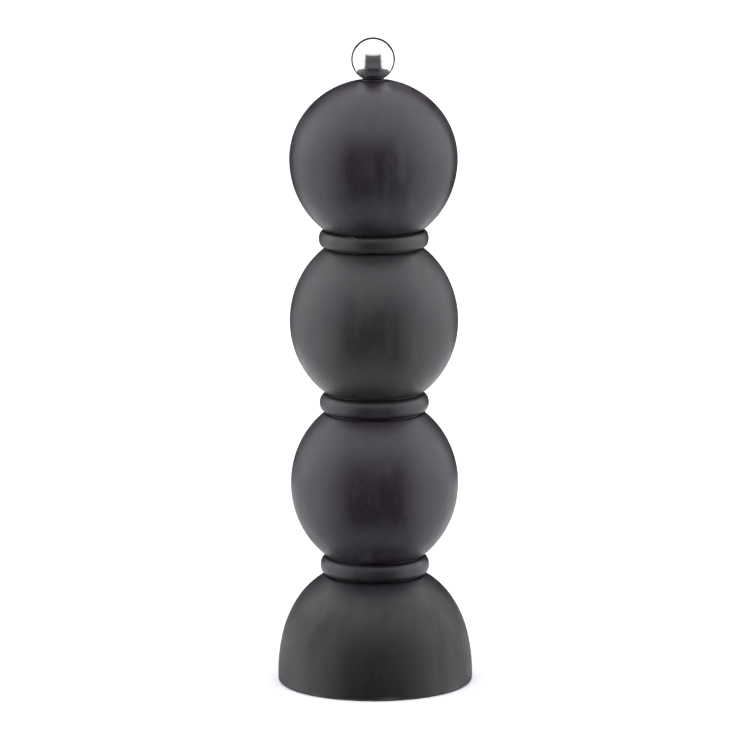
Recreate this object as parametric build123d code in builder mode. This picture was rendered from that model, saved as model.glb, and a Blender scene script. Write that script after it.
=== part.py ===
from build123d import *
import os
from math import asin, cos, pi, sin, tan

# Pepper mill, 240 mm tall, in millimetres.
# Origin: centre of the foot, on the surface the mill stands on. +Z up the axis.

os.makedirs("parts", exist_ok=True)

# ---- driving dimensions ---------------------------------------------------------

# clearances
running = 0.1  # radial clearance of a turning fit
slip = 0.05  # gap between pieces that are fitted together
float_gap = 0.02  # gap either side of a piece that turns face to face
seam_gap = 0.03  # gap either side of the ring's flange in the head's seam

# turned outline of the wood: heights are of the widest level
groove_r = 17.4  # floor of the narrow grooves beside each collar
groove_width = 0.45
collar_r = 20.2
neck_collar = (166.04, 2.95, 1.6)  # height, half height, bulge
waist_collar = (104.9, 3.55, 2.7)
foot_collar = (43.8, 3.35, 2.2)
head_ball = (195.4, 30.9, 32.3, 29.45)  # height, radius, drop below, rise above
upper_ball = (135.4, 31.04, 32.7, 33.3)
lower_ball = (74.55, 31.0, 33.2, 33.0)
bell_foot_r = 34.9  # flat foot, then tangent arcs up to the lowest groove
bell_arcs = [(1.23, 88.43), (64.1, 14.56), (41.12, 19.16), (29.81, 28.1)]  # radius, sweep

# hollows of the body
chamber_r = 13.5
grinder_bore_r = 18.0
grinder_bore_top = 34.0
recess_r = 23.8
recess_top = 12.0
body_top = neck_collar[0] + neck_collar[1]

# head
seam = 0.45  # open seam between body and head
spigot_r = 12.1
spigot_bottom = 158.5
head_bore_r = 4.7
head_bore_top = 219.0
thread_hole_r = 2.9
head_top = 224.2
plate_r = 12.9
plate_thickness = 1.5
plate_screw_circle_r = 8.6
ring_bottom = 160.0
ring_flange_r = 17.4

# shaft
square = 6.0
shaft_corner_r = 4.1
thread_r = 2.5
shaft_bottom = 8.2
square_bottom = 11.6
square_top = 215.0
shaft_top = 232.3
clip_groove_bottom = 9.65
clip_groove_top = 10.45
clip_groove_r = 1.95

# grinder
housing_r = 17.8
housing_top = grinder_bore_top - 0.1
flange_bottom = 10.0
hopper_r = 14.0
stator_r = 15.9
stator_bottom = 12.7
stator_top = 22.0
throat = 16.2  # height where the gap between the burrs stops narrowing
stator_bore = (12.8, 11.5, 13.4)  # tooth crests at the bottom, throat and top
rotor_bottom = 12.9
rotor_top = 22.4
rotor_cone = (12.2, 11.0, 6.9)  # tooth crests at the bottom, throat and top
carrier_r = 5.4
carrier_bottom = 11.3
carrier_flange_r = 8.8
carrier_top = 23.2
dog_width = 3.0
dog_r = 8.2
dog_top = 14.8
seat_r = 6.8
spring_bottom = 24.0
bridge_bottom = 31.0
bridge_hub_r = 7.0
bridge_arm = (15.5, 6.0)  # reach, width
spring_coil_r = 5.6
wire_r = 0.5
spring_turns = 4
retainer_bottom = 11.55
retainer_thickness = 1.0
retainer_depth = 0.9  # how far the spring ring stands into the housing's groove

# wood screws, three of each; their heads face down and carry a cross recess
flange_screw_circle_r = 20.9
first_screw = 90  # angle of the first screw
screw_r = 1.25
pilot_r = 1.3
screw_point = 0.9
cross_width = 0.5
cross_depth = 0.8
flange_pilot_depth = 10.5
plate_pilot_depth = 8.5
pan_r = 2.1
pan_height = 1.4
pan_cross = 2.4
plate_screw_shank = 9.5
countersunk_r = 2.4
countersunk_height = 1.15
countersunk_cross = 2.6
flange_screw_length = 12.0

# knob
knob_r = 8.0
knob_height = 232.0
knob_flat = 224.7
washer_r = 4.2
insert_r = 3.0
insert_top = 236.0
insert_hole_r = 2.6
insert_hole_top = 235.0


upright = (Align.CENTER, Align.CENTER, Align.MIN)  # a solid that stands on its plane


def save(piece, label):
    """Name a finished piece and write its file."""
    piece.part.label = label
    export_step(piece.part, f"parts/{label}.step")


def curve(centre, across, up, start, end):
    """Smooth arc of an ellipse between two angles, as one Bezier curve."""
    reach = 4 / 3 * tan((end - start) / 4)
    points = []
    for angle, lead in ((start, reach), (end, -reach)):
        x, y = cos(angle), sin(angle)
        on_curve = (centre[0] + across * x, centre[1] + up * y)
        handle = (on_curve[0] - lead * across * y, on_curve[1] + lead * up * x)
        points += [on_curve, handle]
    Bezier(points[0], points[1], points[3], points[2])
    return points[0], points[2]


def ball_arc(ball, from_height, to_height):
    """Outline of a turned ball between two heights either side of its middle."""
    middle, radius, drop, rise = ball
    foot, _ = curve((0, middle), radius, drop, asin((from_height - middle) / drop), 0)
    _, crown = curve((0, middle), radius, rise, 0, asin((to_height - middle) / rise))
    return foot, crown


def bead(collar):
    """Half-round outline of a collar, with its two end points."""
    height, half_height, bulge = collar
    centre = (collar_r - bulge, height)
    foot, _ = curve(centre, bulge, half_height, -pi / 2, 0)
    _, crown = curve(centre, bulge, half_height, 0, pi / 2)
    return foot, crown


def groove(low, high):
    """Narrow groove between a bead's flat end and the ball or bell beside it."""
    Polyline(low, (groove_r, low[1]), (groove_r, high[1]), high)


def bell():
    """Tangent arcs from the foot up to the lowest groove."""
    arc = None
    for radius, sweep in bell_arcs:
        start = (bell_foot_r, 0) if arc is None else arc @ 1
        heading = (1, 0) if arc is None else arc % 1
        arc = JernArc(start, heading, radius, sweep)
    return (arc @ 1).X, (arc @ 1).Y


def flute(foot, top, size):
    """Square bar along a burr's slope; half its width cuts a tooth gap."""
    run, climb = top[0] - foot[0], top[1] - foot[1]
    length = (run**2 + climb**2) ** 0.5
    with BuildPart() as bar:
        with BuildSketch(Plane((foot[0], 0, foot[1]), x_dir=(0, 1, 0), z_dir=(run, 0, climb))):
            Rectangle(size, size, rotation=45)
        extrude(amount=length + size)
        extrude(bar.faces().sort_by(Axis.Z)[0], amount=size)
    return bar.part


# ---- body: one turned piece of wood -----------------------------------------------
with BuildPart() as body:
    with BuildSketch(Plane.XZ):
        with BuildLine():
            bell_top = bell()
            foot_bead_low, foot_bead_high = bead(foot_collar)
            waist_bead_low, waist_bead_high = bead(waist_collar)
            neck_bead_low, neck_bead_high = bead(neck_collar)
            low_ball_foot, low_ball_top = ball_arc(
                lower_ball, foot_bead_high[1] + groove_width, waist_bead_low[1] - groove_width
            )
            high_ball_foot, high_ball_top = ball_arc(
                upper_ball, waist_bead_high[1] + groove_width, neck_bead_low[1] - groove_width
            )
            groove(bell_top, foot_bead_low)
            groove(foot_bead_high, low_ball_foot)
            groove(low_ball_top, waist_bead_low)
            groove(waist_bead_high, high_ball_foot)
            groove(high_ball_top, neck_bead_low)
            Polyline(
                neck_bead_high,
                (chamber_r, body_top),
                (chamber_r, grinder_bore_top),
                (grinder_bore_r, grinder_bore_top),
                (grinder_bore_r, recess_top),
                (recess_r, recess_top),
                (recess_r, 0),
                (bell_foot_r, 0),
            )
        make_face()
    revolve(axis=Axis.Z)
    foot_edges = body.edges().filter_by(GeomType.CIRCLE).group_by(Axis.Z)[0]
    chamfer(foot_edges.sort_by(SortBy.RADIUS)[0], 0.6)
    with BuildSketch(Plane.XY.offset(recess_top)):
        with PolarLocations(flange_screw_circle_r, 3, start_angle=first_screw):
            Circle(pilot_r)
    extrude(amount=flange_pilot_depth, mode=Mode.SUBTRACT)
save(body, "body")

# ---- grinder housing: nylon sleeve with a flange -----------------------------------
with BuildPart() as grinder_housing:
    with BuildSketch(Plane.XZ):
        with BuildLine():
            Polyline(
                (stator_r + slip, flange_bottom),
                (recess_r - 0.2, flange_bottom),
                (recess_r - 0.2, recess_top - slip),
                (housing_r, recess_top - slip),
                (housing_r, housing_top),
                (hopper_r, housing_top),
                (hopper_r, stator_top + slip),
                (stator_r + slip, stator_top + slip),
                (stator_r + slip, stator_bottom - slip),
                (stator_r + 1, stator_bottom - slip),
                (stator_r + 1, retainer_bottom - 0.1),
                (stator_r + slip, retainer_bottom - 0.1),
                close=True,
            )
        make_face()
    revolve(axis=Axis.Z)
    notch_reach, notch_width = bridge_arm
    with Locations((0, 0, bridge_bottom - slip)):
        Box(
            notch_width + 0.2,
            2 * notch_reach + 0.3,
            housing_top,
            align=upright,
            mode=Mode.SUBTRACT,
        )
    with Locations(Plane((0, 0, flange_bottom), x_dir=(1, 0, 0), z_dir=(0, 0, -1))):
        with PolarLocations(flange_screw_circle_r, 3, start_angle=-first_screw):
            CounterSinkHole(pilot_r, 2.5, depth=3)
save(grinder_housing, "grinder_housing")

# ---- fixed burr -------------------------------------------------------------------
stator_flute = flute((stator_bore[0], stator_bottom), (stator_bore[1], throat), 1.6)
stator_rib_gap = flute((stator_bore[1], throat), (stator_bore[2], stator_top), 2.6)
with BuildPart() as stator_ring:
    with BuildSketch(Plane.XZ):
        with BuildLine():
            Polyline(
                (stator_bore[0], stator_bottom),
                (stator_r, stator_bottom),
                (stator_r, stator_top),
                (stator_bore[2], stator_top),
                (stator_bore[1], throat),
                close=True,
            )
        make_face()
    revolve(axis=Axis.Z)
    with PolarLocations(0, 24):
        add(stator_flute, mode=Mode.SUBTRACT)
    with PolarLocations(0, 12):
        add(stator_rib_gap, mode=Mode.SUBTRACT)
save(stator_ring, "stator_ring")

# ---- spring steel ring under the fixed burr ------------------------------------------
with BuildPart() as retaining_ring:
    with BuildSketch(Plane.XY.offset(retainer_bottom)):
        Circle(stator_r + retainer_depth)
        Circle(stator_r - 1.5, mode=Mode.SUBTRACT)
        with Locations((0, -stator_r)):
            Rectangle(7, 6, mode=Mode.SUBTRACT)
    extrude(amount=retainer_thickness)
save(retaining_ring, "retaining_ring")

# ---- bridge: bar that guides the shaft -------------------------------------------------
with BuildPart() as bridge:
    reach, width = bridge_arm
    with BuildSketch(Plane.XY.offset(bridge_bottom)):
        Circle(bridge_hub_r)
        with BuildSketch(mode=Mode.ADD):
            Circle(reach)
            Rectangle(width, 2 * reach, mode=Mode.INTERSECT)
        Circle(shaft_corner_r + running, mode=Mode.SUBTRACT)
    extrude(amount=grinder_bore_top - slip - bridge_bottom)
save(bridge, "bridge")

# ---- spring, seat, and the turning burr with its carrier -------------------------------
with BuildPart() as spring:
    rise = bridge_bottom - spring_bottom - 2 * wire_r
    with BuildLine(Plane.XY.offset(spring_bottom + wire_r)) as coil:
        Helix(rise / spring_turns, rise, spring_coil_r)
    with BuildSketch(Plane(coil.line @ 0, z_dir=coil.line % 0)):
        Circle(wire_r)
    sweep(is_frenet=True)
save(spring, "spring")

with BuildPart() as spring_seat:
    with BuildSketch(Plane.XY.offset(carrier_top + float_gap)):
        Circle(seat_r)
        Circle(shaft_corner_r + running, mode=Mode.SUBTRACT)
    extrude(amount=spring_bottom - carrier_top - float_gap)
save(spring_seat, "spring_seat")

with BuildPart() as rotor_carrier:
    with BuildSketch(Plane.XY.offset(carrier_bottom)):
        Circle(carrier_flange_r)
    extrude(amount=rotor_bottom - slip - carrier_bottom)
    with BuildSketch(Plane.XY.offset(carrier_bottom)):
        Circle(carrier_r)
    extrude(amount=carrier_top - carrier_bottom)
    with BuildSketch(Plane.XY.offset(carrier_bottom)):
        with PolarLocations(dog_r / 2, 3):
            Rectangle(dog_r, dog_width)
    extrude(amount=dog_top - carrier_bottom)
    with BuildSketch(Plane.XY.offset(carrier_bottom)):
        Rectangle(square + running, square + running)
    extrude(amount=carrier_top - carrier_bottom, mode=Mode.SUBTRACT)
save(rotor_carrier, "rotor_carrier")

rotor_flute = flute((rotor_cone[0], rotor_bottom), (rotor_cone[1], throat), 1.5)
rotor_rib_gap = flute((rotor_cone[1], throat), (rotor_cone[2], rotor_top), 2.8)
with BuildPart() as rotor:
    with BuildSketch(Plane.XZ):
        with BuildLine():
            Polyline(
                (carrier_r + slip, rotor_bottom),
                (rotor_cone[0], rotor_bottom),
                (rotor_cone[1], throat),
                (rotor_cone[2], rotor_top),
                (carrier_r + slip, rotor_top),
                close=True,
            )
        make_face()
    revolve(axis=Axis.Z)
    with PolarLocations(0, 24):
        add(rotor_flute, mode=Mode.SUBTRACT)
    with PolarLocations(0, 8, start_angle=20):
        add(rotor_rib_gap, mode=Mode.SUBTRACT)
    with BuildSketch(Plane.XY.offset(rotor_bottom)):
        with PolarLocations(dog_r / 2, 3):
            Rectangle(dog_r + 2 * slip, dog_width + 2 * slip)
    extrude(amount=dog_top + slip - rotor_bottom, mode=Mode.SUBTRACT)
save(rotor, "rotor")

# ---- shaft and what holds the turning burr on its foot ---------------------------------
with BuildPart() as shaft:
    with BuildSketch(Plane.XY.offset(square_bottom)):
        Circle(shaft_corner_r)
        Rectangle(square, square, mode=Mode.INTERSECT)
    extrude(amount=square_top - square_bottom)
    with BuildSketch(Plane.XY.offset(shaft_bottom)):
        Circle(thread_r)
    extrude(amount=shaft_top - shaft_bottom)
    ends = shaft.edges().filter_by(GeomType.CIRCLE).group_by(Axis.Z)
    chamfer(ends[0] + ends[-1], 0.4)
    with BuildSketch(Plane.XY.offset(clip_groove_bottom)):
        Circle(thread_r + 1)
        Circle(clip_groove_r, mode=Mode.SUBTRACT)
    extrude(amount=clip_groove_top - clip_groove_bottom, mode=Mode.SUBTRACT)
save(shaft, "shaft")

with BuildPart() as clip_washer:
    with BuildSketch(Plane.XY.offset(clip_groove_top + slip)):
        Circle(5.5)
        Circle(thread_r + running, mode=Mode.SUBTRACT)
    extrude(amount=carrier_bottom - clip_groove_top - 2 * slip)
save(clip_washer, "clip_washer")

with BuildPart() as shaft_clip:
    with BuildSketch(Plane.XY.offset(clip_groove_bottom + slip)):
        Circle(4.6)
        Circle(3.3, mode=Mode.SUBTRACT)
        with PolarLocations(2.95, 3, start_angle=90):
            Rectangle(1.7, 2.2)
        with Locations((0, -4)):
            Rectangle(3.8, 4, mode=Mode.SUBTRACT)
        Circle(clip_groove_r + slip, mode=Mode.SUBTRACT)
    extrude(amount=clip_groove_top - clip_groove_bottom - 2 * slip)
save(shaft_clip, "shaft_clip")

# ---- head: turned wood with a spigot ----------------------------------------------------
shoulder = body_top + seam
with BuildPart() as head:
    with BuildSketch(Plane.XZ):
        with BuildLine():
            ball_foot, ball_crown = ball_arc(head_ball, shoulder, head_top)
            Polyline(
                ball_crown,
                (thread_hole_r, head_top),
                (thread_hole_r, head_bore_top),
                (head_bore_r, head_bore_top),
                (head_bore_r, spigot_bottom),
                (spigot_r, spigot_bottom),
                (spigot_r, shoulder),
                ball_foot,
            )
        make_face()
    revolve(axis=Axis.Z)
    with BuildSketch(Plane.XY.offset(spigot_bottom)):
        with PolarLocations(plate_screw_circle_r, 3, start_angle=first_screw):
            Circle(pilot_r)
    extrude(amount=plate_pilot_depth, mode=Mode.SUBTRACT)
save(head, "head")

with BuildPart() as head_ring:
    with BuildSketch(Plane.XZ):
        with BuildLine():
            Polyline(
                (spigot_r + running, ring_bottom),
                (chamber_r - running, ring_bottom),
                (chamber_r - running, body_top + seam_gap),
                (ring_flange_r, body_top + seam_gap),
                (ring_flange_r, shoulder - seam_gap),
                (spigot_r + running, shoulder - seam_gap),
                close=True,
            )
        make_face()
    revolve(axis=Axis.Z)
save(head_ring, "head_ring")

with BuildPart() as drive_plate:
    with BuildSketch(Plane.XY.offset(spigot_bottom - slip - plate_thickness)):
        Circle(plate_r)
        Rectangle(square + 2 * running, square + 2 * running, mode=Mode.SUBTRACT)
        with PolarLocations(plate_screw_circle_r, 3, start_angle=first_screw):
            Circle(pilot_r, mode=Mode.SUBTRACT)
    extrude(amount=plate_thickness)
save(drive_plate, "drive_plate")

with BuildPart() as plate_screws:
    head_seat = spigot_bottom - slip - plate_thickness
    with BuildSketch(Plane.XY.offset(head_seat - pan_height)):
        with PolarLocations(plate_screw_circle_r, 3, start_angle=first_screw):
            Circle(pan_r)
    extrude(amount=pan_height - slip)
    chamfer(plate_screws.edges().filter_by(GeomType.CIRCLE).group_by(Axis.Z)[0], 0.5)
    with BuildSketch(Plane.XY.offset(head_seat - slip)):
        with PolarLocations(plate_screw_circle_r, 3, start_angle=first_screw):
            Circle(screw_r)
    extrude(amount=plate_screw_shank)
    chamfer(plate_screws.edges().filter_by(GeomType.CIRCLE).group_by(Axis.Z)[-1], screw_point)
    with BuildSketch(Plane.XY.offset(head_seat - pan_height)):
        with PolarLocations(plate_screw_circle_r, 3, start_angle=first_screw):
            Rectangle(pan_cross, cross_width)
            Rectangle(cross_width, pan_cross)
    extrude(amount=cross_depth, mode=Mode.SUBTRACT)
save(plate_screws, "plate_screws")

with BuildPart() as housing_screws:
    face = flange_bottom + slip
    with Locations(Plane.XY.offset(face)):
        with PolarLocations(flange_screw_circle_r, 3, start_angle=first_screw):
            Cone(countersunk_r, screw_r, countersunk_height, align=upright)
            Cylinder(screw_r, flange_screw_length, align=upright)
    chamfer(housing_screws.edges().filter_by(GeomType.CIRCLE).group_by(Axis.Z)[-1], screw_point)
    with BuildSketch(Plane.XY.offset(face)):
        with PolarLocations(flange_screw_circle_r, 3, start_angle=first_screw):
            Rectangle(countersunk_cross, cross_width)
            Rectangle(cross_width, countersunk_cross)
    extrude(amount=cross_depth, mode=Mode.SUBTRACT)
save(housing_screws, "housing_screws")

# ---- knob -------------------------------------------------------------------------------
with BuildPart() as knob_washer:
    with BuildSketch(Plane.XY.offset(head_top + float_gap)):
        Circle(washer_r)
        Circle(thread_hole_r, mode=Mode.SUBTRACT)
    extrude(amount=knob_flat - head_top - 2 * float_gap)
save(knob_washer, "knob_washer")

with BuildPart() as knob:
    with Locations((0, 0, knob_height)):
        Sphere(knob_r)
    split(bisect_by=Plane.XY.offset(knob_flat))
    with BuildSketch(Plane.XY.offset(knob_flat)):
        Circle(insert_r + slip)
    extrude(amount=insert_top + slip - knob_flat, mode=Mode.SUBTRACT)
save(knob, "knob")

with BuildPart() as knob_insert:
    with BuildSketch(Plane.XY.offset(knob_flat)):
        Circle(insert_r)
    extrude(amount=insert_top - knob_flat)
    with BuildSketch(Plane.XY.offset(knob_flat)):
        Circle(insert_hole_r)
    extrude(amount=insert_hole_top - knob_flat, mode=Mode.SUBTRACT)
save(knob_insert, "knob_insert")
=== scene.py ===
"""Looks of a turned wooden pepper mill, built around its CAD frame. Lengths are in metres."""

import logging
import math
from collections.abc import Callable, Sequence
from dataclasses import dataclass, field
from enum import Enum
from typing import Any

import bmesh
import bpy
from mathutils import Matrix, Vector


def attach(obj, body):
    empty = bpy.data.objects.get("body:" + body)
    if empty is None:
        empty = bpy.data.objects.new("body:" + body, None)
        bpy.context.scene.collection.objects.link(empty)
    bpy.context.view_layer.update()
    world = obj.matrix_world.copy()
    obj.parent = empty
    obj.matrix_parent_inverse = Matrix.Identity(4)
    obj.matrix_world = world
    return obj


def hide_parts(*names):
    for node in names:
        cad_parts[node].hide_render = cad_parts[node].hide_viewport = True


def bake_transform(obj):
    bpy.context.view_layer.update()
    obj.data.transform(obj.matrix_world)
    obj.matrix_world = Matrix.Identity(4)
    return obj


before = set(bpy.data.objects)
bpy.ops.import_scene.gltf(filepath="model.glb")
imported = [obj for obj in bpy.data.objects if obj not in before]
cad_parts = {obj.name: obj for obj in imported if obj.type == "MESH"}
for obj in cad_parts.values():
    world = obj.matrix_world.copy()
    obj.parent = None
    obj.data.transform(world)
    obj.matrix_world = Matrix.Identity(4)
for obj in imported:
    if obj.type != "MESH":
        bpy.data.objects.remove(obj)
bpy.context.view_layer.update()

LOG = logging.getLogger("pepper_mill")
MM = 0.001
Point = tuple[float, float]
Place = tuple[float, float, float]
Colour = tuple[float, float, float, float]
Loop = list[Point]
Shape = Callable[[float, float, float], float]

# Sizes that both the shapes and the finishes go by.
SEAM = 169.2 * MM
HEAD_MIDDLE = 195.4 * MM
HEAD_RADIUS = 30.9 * MM
RECESS_TOP = 12.0 * MM
RECESS_RADIUS = 23.8 * MM


class Body(str, Enum):
    """Rigid bodies of the frame."""

    BODY = "body"
    SEAT = "spring_seat"
    SHAFT = "shaft"
    RING = "head_ring"
    HEAD = "head"
    WASHER = "knob_washer"
    KNOB = "knob"


# ---- shader maths -------------------------------------------------------------------


class Value:
    """A shader socket that takes part in Python expressions."""

    def __init__(self, graph: "Graph", socket: bpy.types.NodeSocket) -> None:
        """Keep the socket with the graph it belongs to."""
        self.graph = graph
        self.socket = socket

    def math(self, operation: str, *values: "Value | float") -> "Value":
        """Add a Math node.

        Args:
            operation: the Math node's operation.
            values: its operands in order.

        Returns:
            The node's result.
        """
        sockets = dict(enumerate(values))
        return self.graph.node("ShaderNodeMath", {"operation": operation}, sockets)

    def __add__(self, other: "Value | float") -> "Value":
        """Sum."""
        return self.math("ADD", self, other)

    def __radd__(self, other: float) -> "Value":
        """Sum, reflected."""
        return self.math("ADD", other, self)

    def __sub__(self, other: "Value | float") -> "Value":
        """Difference."""
        return self.math("SUBTRACT", self, other)

    def __rsub__(self, other: float) -> "Value":
        """Difference, reflected."""
        return self.math("SUBTRACT", other, self)

    def __mul__(self, other: "Value | float") -> "Value":
        """Product."""
        return self.math("MULTIPLY", self, other)

    def __rmul__(self, other: float) -> "Value":
        """Product, reflected."""
        return self.math("MULTIPLY", other, self)

    def power(self, exponent: float) -> "Value":
        """This value to a power."""
        return self.math("POWER", self, exponent)

    def larger(self, other: "Value | float") -> "Value":
        """The larger of two values."""
        return self.math("MAXIMUM", self, other)

    def step(self, low: float, high: float) -> "Value":
        """Smooth step from 0 at low to 1 at high; low above high turns it round."""
        sockets = {"Value": self, "From Min": low, "From Max": high}
        return self.graph.node("ShaderNodeMapRange", {"interpolation_type": "SMOOTHSTEP"}, sockets)

    def band(self, middle: float, half_width: float) -> "Value":
        """1 at a middle value, falling smoothly to 0 at half_width either side."""
        return (self - middle).size().step(half_width, 0.0)

    def size(self) -> "Value":
        """This value without its sign."""
        return self.math("ABSOLUTE", self)


class Graph:
    """A node tree under construction, with the coordinates that it is drawn in."""

    def __init__(self, tree: bpy.types.NodeTree, coordinates: str) -> None:
        """Start from a tree.

        Args:
            tree: the node tree to build in.
            coordinates: which output of Texture Coordinate the nodes are drawn in.
        """
        self.tree = tree
        self.place = self.node("ShaderNodeTexCoord", {}, {}, coordinates)
        self.x, self.y, self.z = (
            self.node("ShaderNodeSeparateXYZ", {}, {0: self.place}, axis) for axis in range(3)
        )

    def node(
        self,
        kind: str,
        settings: dict[str, Any],
        sockets: dict[str | int, Any],
        output: str | int = 0,
    ) -> Value:
        """Add any node.

        Args:
            kind: the node's type.
            settings: its properties, set before its sockets.
            sockets: values or links for its inputs.
            output: which output to return.

        Returns:
            The chosen output.
        """
        node = self.tree.nodes.new(kind)
        for name, setting in settings.items():
            setattr(node, name, setting)
        for name, value in sockets.items():
            if isinstance(value, Value):
                self.tree.links.new(value.socket, node.inputs[name])
            else:
                node.inputs[name].default_value = value
        return Value(self, node.outputs[output])

    def stretched(self, across: float, along: float) -> Value:
        """Object coordinates scaled across the axis and along it."""
        sockets = {0: self.place, 1: (across, across, along)}
        return self.node("ShaderNodeVectorMath", {"operation": "MULTIPLY"}, sockets)

    def noise(self, where: Value, detail: float = 3.0, roughness: float = 0.5) -> Value:
        """Fractal noise from 0 to 1."""
        sockets = {"Vector": where, "Scale": 1.0, "Detail": detail, "Roughness": roughness}
        return self.node("ShaderNodeTexNoise", {}, sockets)

    def mix(self, share: Value | float, first: Any, second: Any) -> Value:
        """Blend two colours."""
        return self.node("ShaderNodeMix", {"data_type": "RGBA"}, {0: share, 6: first, 7: second}, 2)


class Shader(Graph):
    """A material under construction, seen in its object's own coordinates."""

    def __init__(self, name: str) -> None:
        """Start a material with one Principled shader.

        Args:
            name: the material's name.
        """
        self.material = bpy.data.materials.new(name)
        self.material.use_nodes = True
        self.surface = self.material.node_tree.nodes["Principled BSDF"]
        super().__init__(self.material.node_tree, "Object")

    def radius(self) -> Value:
        """Distance from the turning axis."""
        return (self.x * self.x + self.y * self.y).power(0.5)

    def bump(self, height: Value, distance: float) -> Value:
        """Bump from a height in 0 to 1."""
        return self.node("ShaderNodeBump", {}, {"Height": height, "Distance": distance})

    def set(self, **sockets: Any) -> None:
        """Fill sockets of the Principled shader.

        Args:
            sockets: values or links by socket name, with spaces written as underscores.
        """
        for name, value in sockets.items():
            target = self.surface.inputs[name.replace("_", " ")]
            if isinstance(value, Value):
                self.tree.links.new(value.socket, target)
            else:
                target.default_value = value


def rgb(red: float, green: float, blue: float) -> Colour:
    """An opaque colour."""
    return (red, green, blue, 1.0)


# ---- finishes --------------------------------------------------------------------------


class RawZone(Enum):
    """Where a turned piece is left bare."""

    BODY = "chamber, grinder bore and recess"
    HEAD = "spigot and bore"


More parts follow.
